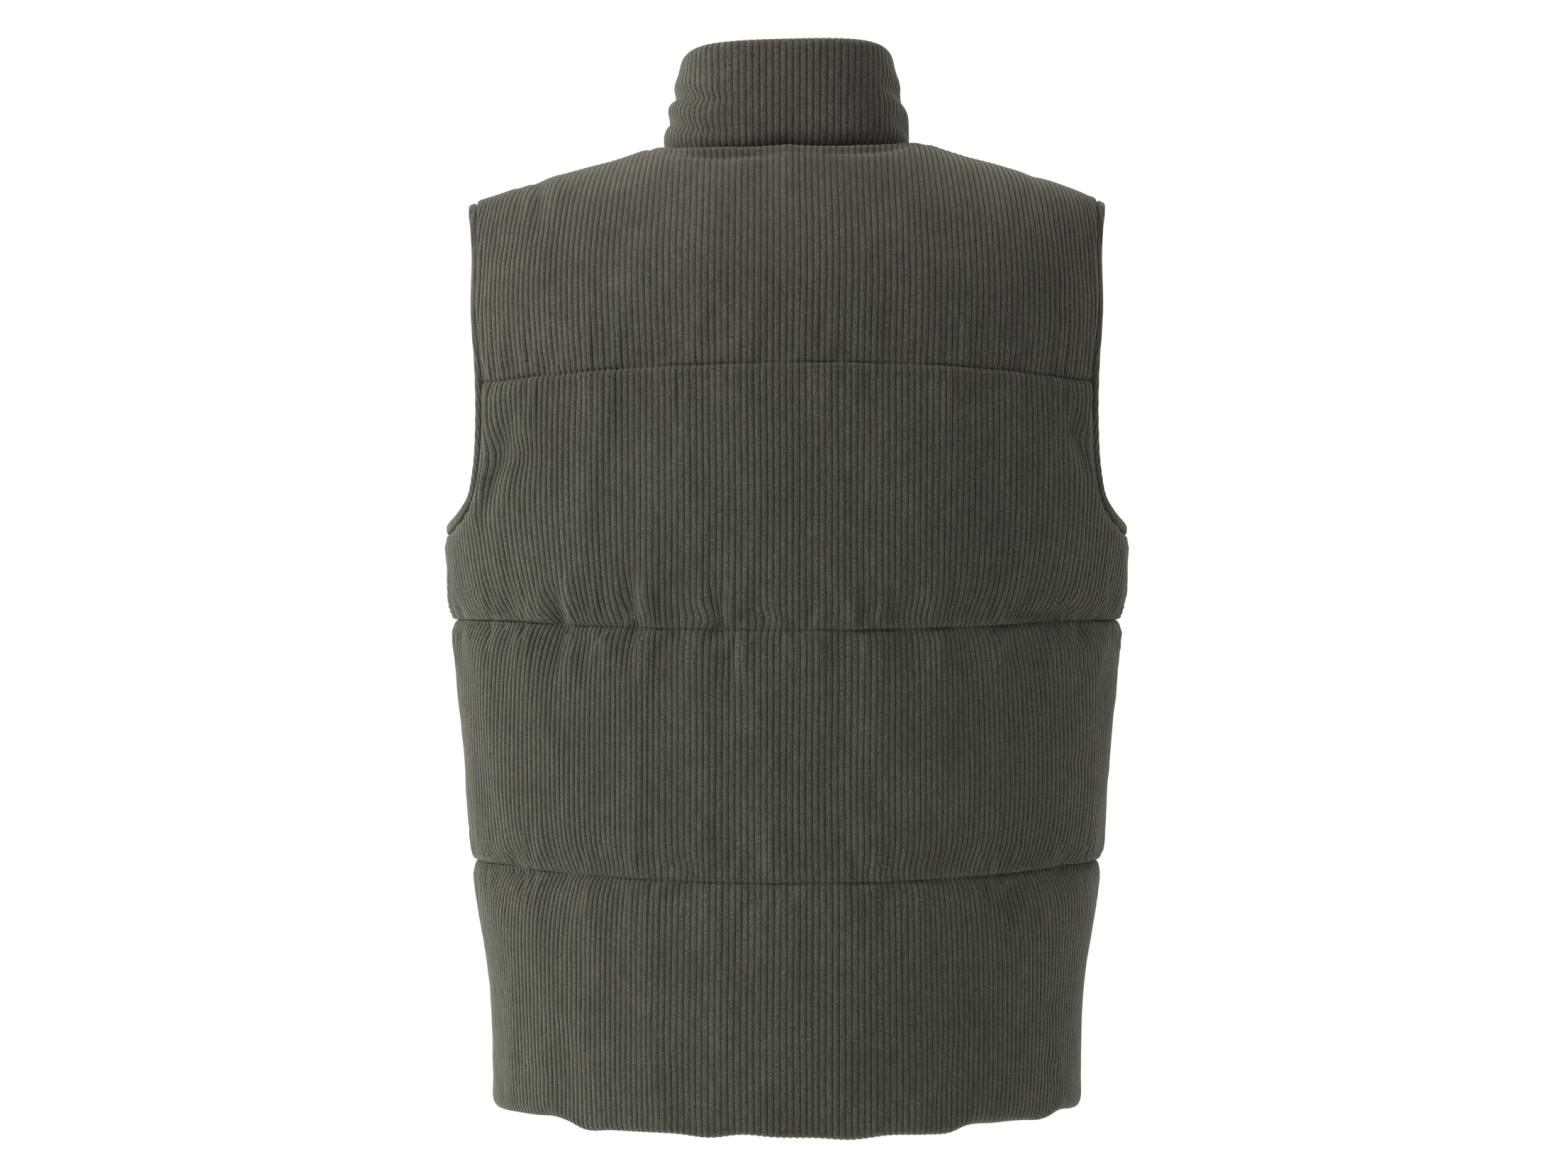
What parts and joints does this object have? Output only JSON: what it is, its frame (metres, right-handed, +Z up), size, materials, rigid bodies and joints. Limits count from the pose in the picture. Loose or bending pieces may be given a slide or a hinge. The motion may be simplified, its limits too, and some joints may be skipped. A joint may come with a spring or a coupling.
{
  "type": "padded corduroy vest",
  "caption": "Sleeveless padded gilet in ribbed corduroy with quilted channels, stand collar, bound armholes and a closed front zip, filled out hollow.",
  "frame": {"origin": "midway between the shoulders, level with the neck points, where the shoulders carry the vest", "axes": "+Z up from hem to collar, -Y to the front with the zip, +X to the wearer's left"},
  "size_m": [0.4784, 0.3058, 0.7442],
  "materials": {
    "corduroy": "six-wale cotton corduroy, cut pile",
    "binding": "corduroy cut on the bias as a binding",
    "zip_tape": "woven polyester tape",
    "zip_metal": "blackened zinc, satin"
  },
  "bodies": {
    "vest": {"back": "corduroy", "front_left": "corduroy", "front_right": "corduroy", "collar": "corduroy", "armhole_band_left": "binding", "armhole_band_right": "binding", "zip_tape_left": "zip_tape", "zip_tape_right": "zip_tape", "zip_slider": "zip_metal", "zip_box": "zip_metal"},
    "pull_tab": {"zip_pull_tab": "zip_metal"}
  },
  "joints": [
    {"name": "pull_tab_hinge", "type": "hinge", "parent": "vest", "child": "pull_tab", "pos_m": [0, -0.09323, -0.02242], "axis": [-1, 0, 0], "range_deg": [0, 170]}
  ]
}
